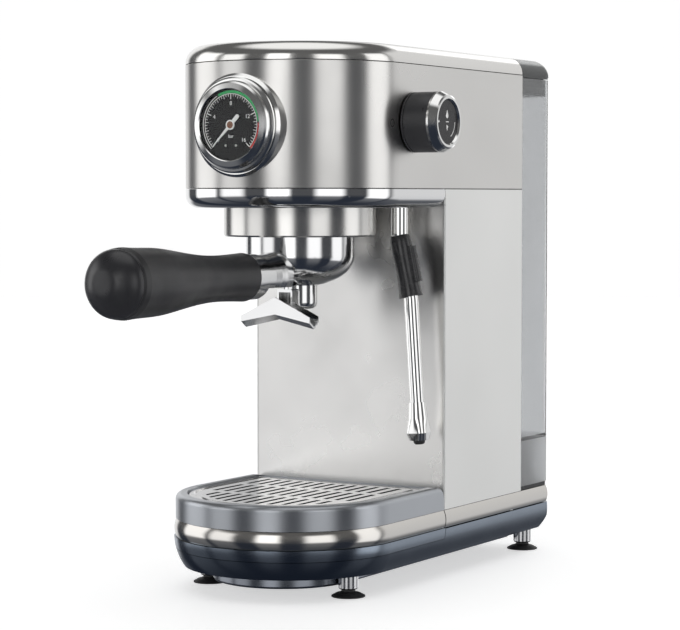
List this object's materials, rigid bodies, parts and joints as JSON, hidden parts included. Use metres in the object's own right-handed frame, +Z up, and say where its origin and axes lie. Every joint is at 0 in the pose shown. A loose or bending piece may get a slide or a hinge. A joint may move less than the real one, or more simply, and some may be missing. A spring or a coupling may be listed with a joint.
{
  "type": "espresso machine",
  "caption": "Compact espresso machine with a round front, pressure gauge, locking portafilter with a two-way spout, steam wand, side knob, rear water tank and sliding drip tray.",
  "frame": {"origin": "under the middle of the whole machine, at the height of the table", "axes": "+Z up, -Y towards the person using it (the handle points along -Y), +X to the side with the knob and the wand"},
  "size_m": [0.165, 0.4084, 0.33],
  "materials": {
    "brushed_head": "vertical brushed satin",
    "side_steel": "fine matte brushed",
    "backsplash_steel": "satin, blurry reflections",
    "polished_chrome": "polished",
    "collar_steel": "turned, fine rings",
    "dark_steel": "dark metallic lacquer",
    "tray_steel": "satin",
    "bright_band": "soft polish",
    "black_plastic": "fine grain",
    "handle_black": "satin",
    "knob_black": "satin with fine flutes",
    "face_black": "gloss",
    "rubber_black": "matte",
    "smoked_clear": "smoked clear plastic",
    "lid_smoke": "dark smoked gloss",
    "dial_black": "matte printed",
    "gauge_glass": "clear",
    "needle_white": "satin white",
    "cast_aluminium": "as cast",
    "chassis_plastic": "moulded",
    "pump_shell": "zinc plated",
    "board_green": "solder mask",
    "hose_clear": "silicone",
    "copper_pipe": "drawn tube",
    "steel_bright": "turned steel"
  },
  "bodies": {
    "machine": {"base_tub": "dark_steel", "base_band": "bright_band", "bottom_plate": "black_plastic", "casing_screws": "steel_bright", "foot_stems": "steel_bright", "suction_feet": "rubber_black", "cord_gland": "rubber_black", "backsplash": "backsplash_steel", "left_side_panel": "side_steel", "right_side_panel": "side_steel", "rear_wall": "black_plastic", "head_shell": "brushed_head", "top_cover": "polished_chrome", "head_tray": "polished_chrome", "chassis": "chassis_plastic", "boiler": "cast_aluminium", "group_collar": "collar_steel", "group_gasket": "rubber_black", "shower_screen": "steel_bright", "screen_screw": "steel_bright", "pump": "pump_shell", "pump_mounts": "rubber_black", "solenoid_valve": "pump_shell", "selector_switch": "black_plastic", "control_board": "board_green", "suction_hose": "hose_clear", "pressure_hose": "hose_clear", "steam_pipe": "copper_pipe", "gauge_capillary": "copper_pipe", "tank_dock": "black_plastic", "gauge_case": "black_plastic", "gauge_collar": "polished_chrome", "gauge_bezel": "polished_chrome", "gauge_dial": "dial_black", "gauge_glass": "gauge_glass", "wand_socket": "black_plastic"},
    "gauge_needle": {"gauge_needle": "needle_white"},
    "selector_knob": {"knob_body": "knob_black", "knob_ring": "polished_chrome", "knob_face": "face_black"},
    "steam_wand": {"wand_tube": "polished_chrome", "wand_grip": "handle_black", "wand_nozzle": "polished_chrome", "wand_tip": "rubber_black"},
    "portafilter": {"portafilter_bowl": "polished_chrome", "filter_basket": "steel_bright", "spout_stem": "polished_chrome", "spout": "polished_chrome", "handle_ferrule": "polished_chrome", "handle_grip": "handle_black", "handle_end_cap": "handle_black"},
    "water_tank": {"water_tank": "smoked_clear", "lid_hinge_pins": "steel_bright", "valve_spring": "steel_bright"},
    "tank_lid": {"tank_lid": "lid_smoke"},
    "tank_valve": {"tank_valve": "black_plastic"},
    "drip_tray": {"tray_basin": "dark_steel", "tray_shell": "tray_steel", "tray_band": "bright_band"},
    "drip_grid": {"drip_grid": "polished_chrome"}
  },
  "joints": [
    {"name": "needle_sweep", "type": "hinge", "parent": "machine", "child": "gauge_needle", "pos_m": [-0.0115, -0.07985, 0.2806], "axis": [0, 1, 0], "range_deg": [0, 270], "stiffness_Nm_per_rad": 0.0002, "springref_deg": -17.19},
    {"name": "knob_turn", "type": "hinge", "parent": "machine", "child": "selector_knob", "pos_m": [0.0705, 0.01475, 0.2835], "axis": [1, 0, 0], "range_deg": [-90, 90]},
    {"name": "wand_swivel", "type": "hinge", "parent": "machine", "child": "steam_wand", "pos_m": [0.0372, 0.03475, 0.24], "axis": [0, 0, 1], "range_deg": [-150, 60]},
    {"name": "portafilter_turn", "type": "hinge", "parent": "machine", "child": "portafilter", "pos_m": [-0.0115, -0.00325, 0.21], "axis": [0, 0, 1], "range_deg": [-45, 0]},
    {"name": "tank_lift", "type": "slide", "parent": "machine", "child": "water_tank", "axis": [0, 0, 1], "range_m": [0, 0.29]},
    {"name": "lid_hinge", "type": "hinge", "parent": "water_tank", "child": "tank_lid", "pos_m": [-0.0115, 0.20275, 0.3189], "axis": [-1, 0, 0], "range_deg": [0, 95]},
    {"name": "valve_lift", "type": "slide", "parent": "water_tank", "child": "tank_valve", "axis": [0, 0, 1], "range_m": [0, 0.0025], "stiffness_N_per_m": 150, "springref_m": -0.002, "deforming": ["valve_spring"]},
    {"name": "tray_slide", "type": "slide", "parent": "machine", "child": "drip_tray", "axis": [0, -1, 0], "range_m": [0, 0.15]},
    {"name": "grid_lift", "type": "slide", "parent": "drip_tray", "child": "drip_grid", "axis": [0, 0, 1], "range_m": [0, 0.025]}
  ]
}
